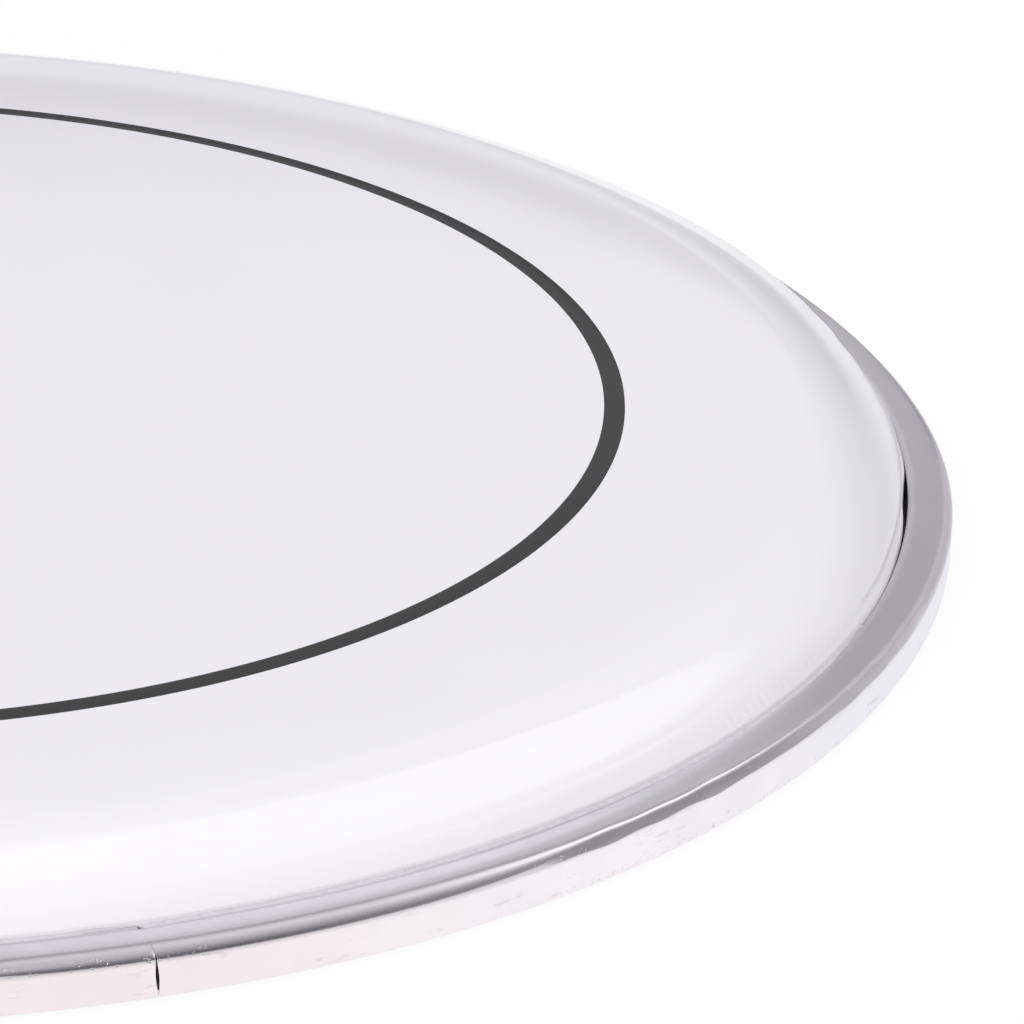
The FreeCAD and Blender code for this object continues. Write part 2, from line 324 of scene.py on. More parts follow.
# Painted reflection tint: the wall's colour goes from a trace pinkish at the left to bluer at the right, for
# the colour of the light it reflects on each side.
wall_reflection_tint = add_node(tree, "ValToRGB", {"Fac": add_node(
    tree, "MapRange", {"Value": split["X"], "From Min": 30 * MM, "From Max": 180 * MM}).outputs["Result"]})
wall_reflection_tint.color_ramp.elements[0].color = linear("#F6EBED")
wall_reflection_tint.color_ramp.elements[1].color = linear("#EDEDF6")
wall_reflection_tint.color_ramp.elements.new(0.5).color = linear("#F8F3F7")
on_top = add_node(tree, "MapRange", {"Value": split["Z"], "From Min": 5.6 * MM, "From Max": 7.2 * MM},
                  interpolation_type="SMOOTHSTEP").outputs["Result"]
# Painted shade: the lip's colour is darker at the left, for the darker reflection it shows there.
lip_shade_tint = add_node(tree, "ValToRGB", {"Fac": add_node(
    tree, "MapRange", {"Value": split["X"], "From Min": 20 * MM, "From Max": 120 * MM}).outputs["Result"]})
lip_shade_tint.color_ramp.elements[0].color = linear("#D5D2D7")
lip_shade_tint.color_ramp.elements[1].color = linear("#EBE8EE")
zone_tint = add_node(tree, "Mix", {0: on_top, 6: wall_reflection_tint.outputs["Color"], 7: lip_shade_tint.outputs["Color"]},
                     data_type="RGBA").outputs[2]
smudged = add_node(tree, "MapRange", {"Value": smudges, "From Min": 0.35, "From Max": 0.65, "To Min": 0.97,
                                      "To Max": 1}).outputs["Result"]
scuffed = add_node(tree, "MapRange", {"Value": scuffs, "From Min": 0.64, "From Max": 0.72, "To Min": 1,
                                      "To Max": 0.88}).outputs["Result"]
scuffed = add_node(tree, "Mix", {"Factor": on_top, "A": scuffed, "B": 1.0}).outputs["Result"]
near_foot = add_node(tree, "MapRange", {"Value": split["Z"], "From Min": 1.2 * MM, "From Max": 3 * MM,
                                        "To Min": 0.6, "To Max": 0.76}).outputs["Result"]
speckled = add_node(tree, "Math", {0: pits, 1: near_foot}, operation="GREATER_THAN").outputs["Value"]
speck_end = add_node(tree, "MapRange", {"Value": split["X"], "From Min": 85 * MM, "From Max": 125 * MM,
                                        "To Min": 0, "To Max": 0.13}).outputs["Result"]
speckled = add_node(tree, "Math", {0: speckled, 1: speck_end}, operation="MULTIPLY").outputs["Value"]
speckled = add_node(tree, "Math", {0: 1.0, 1: speckled}, operation="SUBTRACT").outputs["Value"]
scuffed = add_node(tree, "Math", {0: scuffed, 1: speckled}, operation="MULTIPLY").outputs["Value"]
bend_sum = add_node(tree, "Math", {0: ring_radius, 1: split["Z"]}, operation="ADD").outputs["Value"]
sharper = add_node(tree, "MapRange", {"Value": split["X"], "From Min": 95 * MM, "From Max": 125 * MM,
                                      "To Min": 0, "To Max": 0.55 * MM}).outputs["Result"]
bend_sum = add_node(tree, "Math", {0: bend_sum, 1: sharper}, operation="SUBTRACT").outputs["Value"]
bend_start = (HOOP_RADIUS - TOP_BEND + HOOP_HEIGHT) * MM
on_bend = add_node(tree, "MapRange", {"Value": bend_sum, "From Min": bend_start - 0.2 * MM,
                                      "From Max": bend_start + 0.4 * MM},
                   interpolation_type="SMOOTHSTEP").outputs["Result"]
# Painted shade and wear: this mask darkens the upper top bend's colour at the left, and makes it rougher
# there.
worn_and_shaded_end = add_node(tree, "MapRange", {"Value": split["X"], "From Min": 70 * MM, "From Max": 120 * MM,
                                       "To Min": 1, "To Max": 0},
                    interpolation_type="SMOOTHSTEP").outputs["Result"]
upper_bend = add_node(tree, "MapRange", {"Value": split["Z"], "From Min": 6.3 * MM, "From Max": 7.4 * MM},
                      interpolation_type="SMOOTHSTEP").outputs["Result"]
wear_and_painted_shade = add_node(tree, "Math", {0: worn_and_shaded_end, 1: upper_bend}, operation="MULTIPLY").outputs["Value"]
right_end = add_node(tree, "MapRange", {"Value": split["X"], "From Min": 128 * MM, "From Max": 158 * MM},
                     interpolation_type="SMOOTHSTEP").outputs["Result"]
# Painted shade: the top bend's colour is darkened, most on the upper bend at the left, and lightened at the
# right end, to set how bright the soft box's reflection shows in it.
painted_shade = add_node(tree, "MapRange", {"Value": wear_and_painted_shade, "To Min": 0.84, "To Max": 0.62}).outputs["Result"]
painted_shade = add_node(tree, "Mix", {"Factor": right_end, "A": painted_shade, "B": 1.08}).outputs["Result"]
painted_shade = add_node(tree, "Mix", {"Factor": on_bend, "A": 1.0, "B": painted_shade}).outputs["Result"]
# Painted shade: at the right end the lip and top bend are darker towards the near side and a little lighter
# towards the far side.
near_side_shade = add_node(tree, "MapRange", {"Value": split["Y"], "From Min": -100 * MM, "From Max": 40 * MM,
                                      "To Min": 0.79, "To Max": 1.07}).outputs["Result"]
on_far_lip = add_node(tree, "Math", {0: right_end, 1: on_top}, operation="MULTIPLY").outputs["Value"]
near_side_shade = add_node(tree, "Mix", {"Factor": on_far_lip, "A": 1.0, "B": near_side_shade}).outputs["Result"]
painted_shade = add_node(tree, "Math", {0: painted_shade, 1: near_side_shade}, operation="MULTIPLY").outputs["Value"]
bend_tint = add_node(tree, "Mix", {0: on_bend, 6: zone_tint, 7: linear("#E9E4EB")},
                     data_type="RGBA").outputs[2]
zone_tint = add_node(tree, "Mix", {0: on_top, 6: zone_tint, 7: bend_tint}, data_type="RGBA").outputs[2]
shade = add_node(tree, "Math", {0: smudged, 1: scuffed}, operation="MULTIPLY").outputs["Value"]
shade = add_node(tree, "Math", {0: shade, 1: painted_shade}, operation="MULTIPLY").outputs["Value"]
tint = add_node(tree, "VectorMath", {0: zone_tint, "Scale": shade}, operation="SCALE").outputs["Vector"]
polish = add_node(tree, "MapRange", {"Value": wear_and_painted_shade, "To Min": 0.2, "To Max": 0.38}).outputs["Result"]
polish = add_node(tree, "Mix", {"Factor": right_end, "A": polish, "B": 0.56}).outputs["Result"]
rough = add_node(tree, "MapRange", {"Value": smudges, "From Min": 0.3, "From Max": 0.7, "To Min": 0.22,
                                    "To Max": 0.16}).outputs["Result"]
on_edge = add_node(tree, "MapRange", {"Value": ring_radius, "From Min": 179 * MM, "From Max": 179.7 * MM,
                                      "To Min": 1, "To Max": 0},
                   interpolation_type="SMOOTHSTEP").outputs["Result"]
rough = add_node(tree, "Mix", {"Factor": right_end, "A": rough, "B": 0.34}).outputs["Result"]
rough = add_node(tree, "Mix", {"Factor": on_edge, "A": rough, "B": 0.55}).outputs["Result"]
rough = add_node(tree, "Mix", {"Factor": on_bend, "A": rough, "B": polish}).outputs["Result"]
pit_depth = add_node(tree, "MapRange", {"Value": pits, "From Min": 0.63, "From Max": 0.75}).outputs["Result"]
pitted = add_node(tree, "MapRange", {"Value": pit_patches, "From Min": 0.5,
                                     "From Max": 0.62}).outputs["Result"]
pit_depth = add_node(tree, "Math", {0: pit_depth, 1: pitted}, operation="MULTIPLY").outputs["Value"]
pit_depth = add_node(tree, "Math", {0: pit_depth, 1: on_bend}, operation="MULTIPLY").outputs["Value"]
line_bump = add_node(tree, "Bump", {"Height": lines, "Strength": 0.08,
                                    "Distance": 0.02 * MM}).outputs["Normal"]
pit_bump = add_node(tree, "Bump", {"Height": pit_depth, "Strength": 0.35, "Distance": 0.1 * MM,
                                   "Normal": line_bump}, invert=True).outputs["Normal"]
tangent = add_node(tree, "Tangent", {}, direction_type="RADIAL", axis="Z").outputs["Tangent"]
metal = add_node(tree, "BsdfPrincipled", {
    "Base Color": tint, "Metallic": 1, "Roughness": rough, "Anisotropic": 0.3, "Anisotropic Rotation": 0.25,
    "Tangent": tangent, "Normal": pit_bump})
add_node(tree, "OutputMaterial", {"Surface": metal.outputs["BSDF"]})
finish_piece("rolled_hoop", hoop, aluminium, "hoop_channel")


# Lock ring: flat steel ring with a butt joint, inside the channel, with the film's rim hooked round it.
# Nothing of it shows, so it keeps its CAD shape and gets a plain drawn steel finish.
steel, tree = new_material("drawn_steel")
place = add_node(tree, "TexCoord", {}).outputs["Object"]
grain = add_node(tree, "TexNoise", {"Vector": place, "Scale": 1 / (2 * MM), "Detail": 4}).outputs["Fac"]
tint = add_node(tree, "ValToRGB", {"Fac": grain})
tint.color_ramp.elements[0].color = linear("#77777A")
tint.color_ramp.elements[1].color = linear("#A4A4A8")
metal = add_node(tree, "BsdfPrincipled", {"Base Color": tint.outputs["Color"], "Metallic": 1,
                                          "Roughness": 0.35})
add_node(tree, "OutputMaterial", {"Surface": metal.outputs["BSDF"]})
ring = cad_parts["lock_ring"]
ring.data.materials.clear()
ring.data.materials.append(steel)


# Under film: the lower of two polyester plies, pressed hot into a flat head with a collar and a hooked rim.
# It is nested in the upper ply, and seen from below it is the whole inside of the head.
HEAD_HEIGHT = 18.3114
DROOP_FROM = 136.0
DROOP_TILT = 2.0
DROOP_RINGS = 6
DROOP_CURVE = 2.75
SHOULDER_ROUND = 21.8
SHOULDER_FROM = 161.18
SHOULDER_DROP = 0.32
FOOT_TILT = 40.0
COLLAR_TILT = 52.0
NECK_ROUND = 0.6
NECK_HEIGHT = 8.48
NECK_RUN = 0.4
SKIRT_RADIUS = 178.33
SKIRT_RINGS = (7.0, 5.5)
HOOK_ROUND = 0.6
RING_OUTSIDE = 180.83
HOOK_LOW = 1.98
HOOK_TOP = 4.1
PLY = 0.19
PLY_SPACE = 0.05
FILM_STEPS = 552


def droop_at(radius):
    """How far the head has eased down at that radius, ahead of its shoulder."""
    share = min(max((radius - DROOP_FROM) / (SHOULDER_FROM - DROOP_FROM), 0), 1)
    return SHOULDER_DROP * share ** DROOP_CURVE


def film_section(depth, thickness):
    """The closed section of a ply whose upper face lies that far under the playing face."""
    droop = [DROOP_FROM + i / DROOP_RINGS * (SHOULDER_FROM - DROOP_FROM) for i in range(DROOP_RINGS + 1)]
    tilt = math.radians(DROOP_TILT)
    slope = math.radians(COLLAR_TILT)
    shoulder = (SHOULDER_FROM - SHOULDER_ROUND * math.sin(tilt),
                HEAD_HEIGHT - SHOULDER_DROP - SHOULDER_ROUND * math.cos(tilt))
    neck = (SKIRT_RADIUS - NECK_ROUND, NECK_HEIGHT)
    hook_in = (SKIRT_RADIUS + HOOK_ROUND, HOOK_LOW)
    hook_out = (RING_OUTSIDE - HOOK_ROUND, HOOK_LOW)
    low = depth + thickness
    bend = NECK_ROUND - depth
    neck_start = (neck[0] + bend * math.sin(slope), neck[1] + bend * math.cos(slope))
    runs = [(r, HEAD_HEIGHT - droop_at(r) - depth) for r in droop]
    runs += [(*shoulder, FOOT_TILT - DROOP_TILT, 18), (*shoulder, COLLAR_TILT - FOOT_TILT, 12)]
    runs += [(neck_start[0] - NECK_RUN * math.cos(slope), neck_start[1] + NECK_RUN * math.sin(slope))]
    runs += [neck_start, (*neck, 90 - COLLAR_TILT, 5)]
    runs += [(SKIRT_RADIUS - depth, h) for h in (HOOP_HEIGHT, *SKIRT_RINGS, HOOK_LOW)]
    runs += [(*hook_in, -90, 3), (hook_out[0], HOOK_LOW - HOOK_ROUND - depth)]
    runs += [(*hook_out, -90, 3), (RING_OUTSIDE + depth, HOOK_TOP), (RING_OUTSIDE + low, HOOK_TOP)]
    runs += [(RING_OUTSIDE + low, HOOK_LOW), (*hook_out, 90, 3), (hook_in[0], HOOK_LOW - HOOK_ROUND - low)]
    runs += [(*hook_in, 90, 3)]
    runs += [(SKIRT_RADIUS - low, h) for h in (*reversed(SKIRT_RINGS), NECK_HEIGHT)]
    runs += [(*neck, COLLAR_TILT - 90, 5)]
    runs += [(shoulder[0] + (SHOULDER_ROUND - low) * math.sin(slope),
              shoulder[1] + (SHOULDER_ROUND - low) * math.cos(slope))]
    runs += [(*shoulder, DROOP_TILT - COLLAR_TILT, 8)]
    runs += [(r, HEAD_HEIGHT - droop_at(r) - low) for r in reversed(droop)]
    runs += [(0, HEAD_HEIGHT - low)]
    return (0, HEAD_HEIGHT - depth), runs


SHARP_FOLD = 0.8
SLOT_GAPE = 0.62
SLOT_OPEN = 0.36
BULGE = 1.8
BULGE_FOOT = 0.15
SCALLOP = 0.16
CREASE_WAVE = 0.1
COLLAR_FROM = 160.0
COLLAR_TO = SKIRT_RADIUS + 0.4
crease_waves = make_waves(11, (9, 14, 23, 41, 67, 88, 120))
scallop_waves = make_waves(13, (64, 83, 101, 149))


def film_shift(degrees, height):
    """How far the collar stands out of true, in mm. Where the glue is missing the film is folded sharper over
    the hoop and stands in from the lip. Beside that stretch it bulges out, in shallow scallops."""
    fold = SHARP_FOLD * bump_at(degrees, -12, 26, 15)
    fold *= smooth_step(10.4, 9.1, height) * smooth_step(7.9, 8.9, height)
    opened = SLOT_GAPE * bump_at(degrees, -10.5, 4.5, 5) + SLOT_OPEN * bump_at(degrees, -13, 13, 11)
    opened *= smooth_step(10.2, 8.3, height) * smooth_step(2.5, 6.5, height)
    bulge = BULGE_FOOT * smooth_step(7.2, 8.0, height) + (1 - BULGE_FOOT) * smooth_step(8.0, 11.5, height)
    bulge *= BULGE * bump_at(degrees, 26, 24, 42) * smooth_step(18, 13.5, height)
    scallop = SCALLOP * scallop_waves(math.radians(degrees))
    scallop *= bump_at(degrees, 12, 18, 20) * smooth_step(15, 11, height)
    return bulge + scallop - max(fold, opened)


def settle_film(bm):
    """Moves the collar out of true, and makes the crease over the hoop uneven."""
    for vert in bm.verts:
        radius = vert.co.xy.length / MM
        height = vert.co.z / MM
        if radius < COLLAR_FROM or radius > COLLAR_TO:
            continue
        azimuth = math.atan2(vert.co.y, vert.co.x)
        creased = smooth_step(11.5, 9.5, height) * smooth_step(7.2, 8.4, height)
        moved = film_shift(math.degrees(azimuth), height)
        moved -= creased * CREASE_WAVE * (1 + crease_waves(azimuth))
        vert.co.xy *= (radius + moved) / radius


# White polyester film: glossy, smooth and a trace violet, with soft handling marks in its gloss. On one side
# the collar is rubbed duller.
film, tree = new_material("white_polyester_film")
place = add_node(tree, "TexCoord", {}).outputs["Object"]
clouds = add_node(tree, "TexNoise", {"Vector": place, "Scale": 1 / (45 * MM), "Detail": 3}).outputs["Fac"]
tint = add_node(tree, "ValToRGB", {"Fac": clouds})
tint.color_ramp.elements[0].position = 0.3
tint.color_ramp.elements[0].color = linear("#F0EEF2")
tint.color_ramp.elements[1].position = 0.7
tint.color_ramp.elements[1].color = linear("#F2F0F4")
handling = add_node(tree, "TexNoise", {"Vector": place, "Scale": 1 / (18 * MM), "Detail": 4}).outputs["Fac"]
gloss = add_node(tree, "MapRange", {"Value": handling, "From Min": 0.35, "From Max": 0.65, "To Min": 0.05,
                                    "To Max": 0.075}).outputs["Result"]
split = add_node(tree, "SeparateXYZ", {"Vector": place}).outputs
rubbed_end = add_node(tree, "MapRange", {"Value": split["X"], "From Min": 118 * MM, "From Max": 155 * MM},
                      interpolation_type="SMOOTHSTEP").outputs["Result"]
on_collar = add_node(tree, "MapRange", {"Value": split["Z"], "From Min": 14 * MM, "From Max": 16.8 * MM,
                                        "To Min": 1, "To Max": 0},
                     interpolation_type="SMOOTHSTEP").outputs["Result"]
rubbed = add_node(tree, "Math", {0: rubbed_end, 1: on_collar}, operation="MULTIPLY").outputs["Value"]
gloss = add_node(tree, "Mix", {"Factor": rubbed, "A": gloss, "B": 0.26}).outputs["Result"]
plastic = add_node(tree, "BsdfPrincipled", {"Base Color": tint.outputs["Color"], "Roughness": gloss,
                                            "IOR": 1.6})
add_node(tree, "OutputMaterial", {"Surface": plastic.outputs["BSDF"]})

under = bmesh.new()
trace_section(under, *film_section(PLY + PLY_SPACE, PLY))
turn_round(under, 360, FILM_STEPS)
settle_film(under)
finish_piece("under_film", under, film, "bottom_ply")


# Damping layer: a thin clear gel that bonds the two plies between the printed ring and the collar.
# It is shut in between the films and follows their droop.
GEL_INSIDE = 131.15
GEL_OUTSIDE = 159.75
GEL_GAP = 0.004
layer = bmesh.new()
layer_radii = [GEL_INSIDE + i / DROOP_RINGS * (GEL_OUTSIDE - GEL_INSIDE) for i in range(DROOP_RINGS + 1)]
gel_top = [(r, HEAD_HEIGHT - droop_at(r) - PLY - GEL_GAP) for r in layer_radii]
gel_foot = [(r, HEAD_HEIGHT - droop_at(r) - PLY - PLY_SPACE + GEL_GAP) for r in reversed(layer_radii)]
trace_section(layer, gel_top[0], gel_top[1:] + gel_foot + gel_top[:1])
turn_round(layer, 360, FILM_STEPS)

gel, tree = new_material("clear_damping_gel")
place = add_node(tree, "TexCoord", {}).outputs["Object"]
cloud = add_node(tree, "TexNoise", {"Vector": place, "Scale": 1 / (12 * MM), "Detail": 2}).outputs["Fac"]
tint = add_node(tree, "ValToRGB", {"Fac": cloud})
tint.color_ramp.elements[0].color = linear("#DAD9D4")
tint.color_ramp.elements[1].color = linear("#E8E7E3")
soft = add_node(tree, "BsdfPrincipled", {"Base Color": tint.outputs["Color"], "Roughness": 0.2, "IOR": 1.42})
add_node(tree, "OutputMaterial", {"Surface": soft.outputs["BSDF"]})
finish_piece("gel_layer", layer, gel, "damping_layer")


# Playing film: the upper polyester ply, which is struck. Its collar rises from the hoop, rolls over a
# shoulder and eases into the flat head, and its rim is hooked round the lock ring with the lower ply's.
# Pressing the collar left short wrinkles that stand across its foot, so the mesh is finer there.
FOOT_LOW = 8.1
FOOT_HIGH = 11.3
FOOT_RADIUS = 179.0
WRINKLE = 0.05
NEAR_WRINKLE = 0.06
playing = bmesh.new()
trace_section(playing, *film_section(0, PLY))
turn_round(playing, 360, FILM_STEPS)
foot_verts = {v for v in playing.verts
              if FOOT_LOW * MM < v.co.z < FOOT_HIGH * MM and v.co.xy.length < FOOT_RADIUS * MM}
foot_edges = [e for e in playing.edges
              if foot_verts.issuperset(e.verts) and abs(e.verts[0].co.z - e.verts[1].co.z) < TOUCH]
bmesh.ops.subdivide_edges(playing, edges=foot_edges, cuts=4, use_grid_fill=True)
settle_film(playing)
wrinkle_waves = make_waves(23, (523, 587, 661, 739))
patch_waves = make_waves(29, (5, 8, 13, 21, 34))
for vert in playing.verts:
    height = vert.co.z / MM
    on_foot = smooth_step(8.3, 9.2, height) * smooth_step(11.2, 9.8, height)
    if on_foot > 0 and vert.co.xy.length < FOOT_RADIUS * MM:
        azimuth = math.atan2(vert.co.y, vert.co.x)
        patchy = smooth_step(-0.25, 0.35, patch_waves(azimuth))
        tall = WRINKLE + NEAR_WRINKLE * bump_at(math.degrees(azimuth), -46, 20, 20)
        vert.co.xy *= 1 + on_foot * patchy * tall * wrinkle_waves(azimuth) / SKIRT_RADIUS
finish_piece("playing_film", playing, film, "top_ply")


# Printed ring: one plain band of black ink, screen printed on the playing film over the damping layer's edge.
# The ink is a few hundredths of a millimetre thick, smooth, with slightly soft edges. It was printed half a
# millimetre off centre, and the band came out a little wider on one side.
RING_INSIDE = 129.3
RING_OUTER = 132.62
INK = 0.04
INK_DIP = 0.005
INK_SLOPE = 0.05
INK_EDGE = 0.12
INSIDE_OFF = 0.65
OUTER_OFF = 0.36
printed = bmesh.new()
ink_top = HEAD_HEIGHT + INK
trace_section(printed, (RING_INSIDE, HEAD_HEIGHT), [
    (RING_INSIDE + INK_SLOPE, ink_top - INK_DIP), (RING_INSIDE + INK_EDGE, ink_top),
    (RING_OUTER - INK_EDGE, ink_top), (RING_OUTER - INK_SLOPE, ink_top - INK_DIP), (RING_OUTER, HEAD_HEIGHT),
    (RING_INSIDE, HEAD_HEIGHT)])
turn_round(printed, 360, RING_STEPS)
for vert in printed.verts:
    radius = vert.co.xy.length / MM
    off_centre = INSIDE_OFF if radius < (RING_INSIDE + RING_OUTER) / 2 else OUTER_OFF
    vert.co.xy *= 1 + off_centre * math.sin(math.atan2(vert.co.y, vert.co.x)) / radius

ink, tree = new_material("black_screen_ink")
place = add_node(tree, "TexCoord", {}).outputs["Object"]
mottle = add_node(tree, "TexNoise", {"Vector": place, "Scale": 1 / (1.5 * MM), "Detail": 3}).outputs["Fac"]
tint = add_node(tree, "ValToRGB", {"Fac": mottle})
tint.color_ramp.elements[0].color = linear("#0B0B0C")
tint.color_ramp.elements[1].color = linear("#19191B")
gloss = add_node(tree, "MapRange", {"Value": mottle, "To Min": 0.1, "To Max": 0.2}).outputs["Result"]
dried = add_node(tree, "BsdfPrincipled", {"Base Color": tint.outputs["Color"], "Roughness": gloss,
                                          "IOR": 1.47})
add_node(tree, "OutputMaterial", {"Surface": dried.outputs["BSDF"]})
finish_piece("printed_ring", printed, ink, "ring_stripe")


# Channel resin: epoxy, cast into the channel round the hooked film and the lock ring. It bonds them all.
# Only a little shows, deep in the open stretch of the slot. It follows the hoop's flat side.
RESIN_FOOT = 0.95
RESIN_SHELF = 4.65
RESIN_TOP = 5.5
RESIN_SKIRT = 178.38
RESIN_HOOK = 181.31
RESIN_WALL = 184.55
RESIN_ROUND = 0.5
RESIN_OUTER = 182.9
cast_fill = bmesh.new()
trace_section(cast_fill, (RESIN_HOOK, RESIN_FOOT), [
    (183.0, RESIN_FOOT), (RESIN_WALL - RESIN_ROUND, RESIN_FOOT),
    (RESIN_WALL - RESIN_ROUND, RESIN_FOOT + RESIN_ROUND, -90, 4), (RESIN_WALL, 3.4), (RESIN_WALL, RESIN_TOP),
    (183.0, RESIN_TOP), (180.5, RESIN_TOP), (RESIN_SKIRT, RESIN_TOP), (RESIN_SKIRT, RESIN_SHELF),
    (180.0, RESIN_SHELF), (RESIN_HOOK, RESIN_SHELF), (RESIN_HOOK, RESIN_FOOT)])
turn_round(cast_fill, 360, RING_STEPS)
for vert in cast_fill.verts:
    radius = vert.co.xy.length / MM
    degrees = math.degrees(math.atan2(vert.co.y, vert.co.x))
    if radius > RESIN_OUTER:
        vert.co.xy *= (radius - flat_side(radius, degrees)) / radius

resin, tree = new_material("cast_epoxy")
place = add_node(tree, "TexCoord", {}).outputs["Object"]
streaks = add_node(tree, "TexNoise", {"Vector": place, "Scale": 1 / (6 * MM), "Detail": 4}).outputs["Fac"]
# Painted shade: the epoxy is coloured dark so that the open stretch of the slot reads dark, for the shade
# deep in it.
tint = add_node(tree, "ValToRGB", {"Fac": streaks})
tint.color_ramp.elements[0].color = linear("#1C1A19")
tint.color_ramp.elements[1].color = linear("#332F2C")
cast = add_node(tree, "BsdfPrincipled", {"Base Color": tint.outputs["Color"], "Roughness": 0.4, "IOR": 1.55})
add_node(tree, "OutputMaterial", {"Surface": cast.outputs["BSDF"]})
finish_piece("cast_resin", cast_fill, resin, "channel_resin")


# Glue line: milky glue run into the slot between film and lip, set hard in a thin uneven fillet.
# It was missed on one stretch, where the slot stays open, and it thins out towards that stretch.
GLUE_FROM = -2.5
GLUE_TO = 333.5
GLUE_STEPS = 1296
GLUE_FOOT = 7.2
GLUE_SKIRT = 178.15
GLUE_TOE = 178.74
GLUE_CREST = 8.1
GLUE_THINNED = 0.25
TOE_WAVE = 0.06
CREST_WAVE = 0.04
glue = bmesh.new()
trace_section(glue, (GLUE_SKIRT, GLUE_FOOT), [
    (178.7, GLUE_FOOT), (178.75, 7.6), (179.08, 7.93), (179.0, 7.98), (178.8, 8.0), (178.6, 8.02),
    (178.44, 8.06), (178.33, 8.13), (178.2, 8.3), (178.1, 8.0), (GLUE_SKIRT, GLUE_FOOT)])
bmesh.ops.rotate(glue, verts=glue.verts, cent=(0, 0, 0),
                 matrix=Matrix.Rotation(math.radians(GLUE_FROM), 3, "Z"))
turn_round(glue, GLUE_TO - GLUE_FROM, GLUE_STEPS)
bmesh.ops.holes_fill(glue, edges=[e for e in glue.edges if e.is_boundary], sides=0)
toe_waves = make_waves(17, (31, 53, 83, 127, 191, 263))
crest_waves = make_waves(19, (19, 47, 74, 111, 167, 229))
for vert in glue.verts:
    radius = vert.co.xy.length / MM
    height = vert.co.z / MM
    azimuth = math.atan2(vert.co.y, vert.co.x)
    degrees = math.degrees(azimuth)
    from_end = min((degrees - GLUE_FROM) % 360, (GLUE_TO - degrees) % 360)
    full = smooth_step(0, 5, from_end)
    moved = min(film_shift(degrees, height), 0) * smooth_step(178.6, 178.3, radius)
    if radius > GLUE_TOE:
        moved += TOE_WAVE * toe_waves(azimuth) + lip_step(seam_turn(vert))
    if height > GLUE_CREST:
        height += CREST_WAVE * crest_waves(azimuth)
    height = GLUE_FOOT + (height - GLUE_FOOT) * (GLUE_THINNED + (1 - GLUE_THINNED) * full)
    vert.co.xy *= (radius + moved) / radius
    vert.co.z = height * MM

milky_glue, tree = new_material("hardened_milky_glue")
place = add_node(tree, "TexCoord", {}).outputs["Object"]
lumps = add_node(tree, "TexNoise", {"Vector": place, "Scale": 1 / (1.2 * MM), "Detail": 3}).outputs["Fac"]
# Painted shade: the glue is coloured a darker grey than milky glue, for the shade in the crease where the
# film meets the lip.
tint = add_node(tree, "ValToRGB", {"Fac": lumps})
tint.color_ramp.elements[0].position = 0.35
tint.color_ramp.elements[0].color = linear("#CBC8CE")
tint.color_ramp.elements[1].position = 0.65
tint.color_ramp.elements[1].color = linear("#D4D1D7")
gloss = add_node(tree, "MapRange", {"Value": lumps, "To Min": 0.2, "To Max": 0.4}).outputs["Result"]
lump_bump = add_node(tree, "Bump", {"Height": lumps, "Strength": 0.2,
                                    "Distance": 0.05 * MM}).outputs["Normal"]
cured = add_node(tree, "BsdfPrincipled", {"Base Color": tint.outputs["Color"], "Roughness": gloss, "IOR": 1.5,
                                          "Normal": lump_bump})
add_node(tree, "OutputMaterial", {"Surface": cured.outputs["BSDF"]})
finish_piece("glue_line", glue, milky_glue, "slot_sealant")


# Floor: a wide pale table top under the hoop. Camera, mirror and see-through rays find it nearly white,
# and part of it stays an ordinary lit surface, so that it keeps the object's shadow.
FLOOR_RADIUS = 8
FLOOR_DROP = 0.05
FLOOR_GLOW = 0.9
floor_mesh = bmesh.new()
bmesh.ops.create_circle(floor_mesh, cap_ends=True, radius=FLOOR_RADIUS, segments=96)
bmesh.ops.translate(floor_mesh, verts=floor_mesh.verts, vec=(0, 0, -FLOOR_DROP * MM))
white_table, tree = new_material("white_table")
rays = add_node(tree, "LightPath", {}).outputs
seen = add_node(tree, "Math", {0: rays["Is Camera Ray"], 1: rays["Is Glossy Ray"]},
                operation="ADD").outputs["Value"]
seen = add_node(tree, "Math", {0: seen, 1: rays["Is Transmission Ray"]}, operation="ADD").outputs["Value"]
seen = add_node(tree, "Math", {0: seen, 1: FLOOR_GLOW}, operation="MULTIPLY", use_clamp=True).outputs["Value"]
paint = add_node(tree, "BsdfDiffuse", {"Color": linear("#F4F4F4")}).outputs["BSDF"]
glow = add_node(tree, "Emission", {"Color": [1, 1, 1, 1], "Strength": 1}).outputs["Emission"]
mixed = add_node(tree, "MixShader", {"Fac": seen, 1: paint, 2: glow}).outputs["Shader"]
add_node(tree, "OutputMaterial", {"Surface": mixed})
floor_data = bpy.data.meshes.new("floor")
floor_mesh.to_mesh(floor_data)
floor_mesh.free()
floor_data.materials.append(white_table)
floor = bpy.data.objects.new("floor", floor_data)
bpy.context.scene.collection.objects.link(floor)


# Studio light: an oval soft box over the head, the faint rim round it, and a square fill from the front.
# The soft box lies where its reflection on the near shoulder shows it, and its left end is dimmer.
BOX_AZIMUTH = 40
BOX_ALONG = 0.68
BOX_ACROSS = -0.33
BOX_HEIGHT = 1.02
BOX_DIM_END = 0.35
FILL_SIDE = 1.2
FILL_RADIANCE = 2.65
FILL_AZIMUTH = -98
FILL_TILT = 60
FILL_DISTANCE = 2


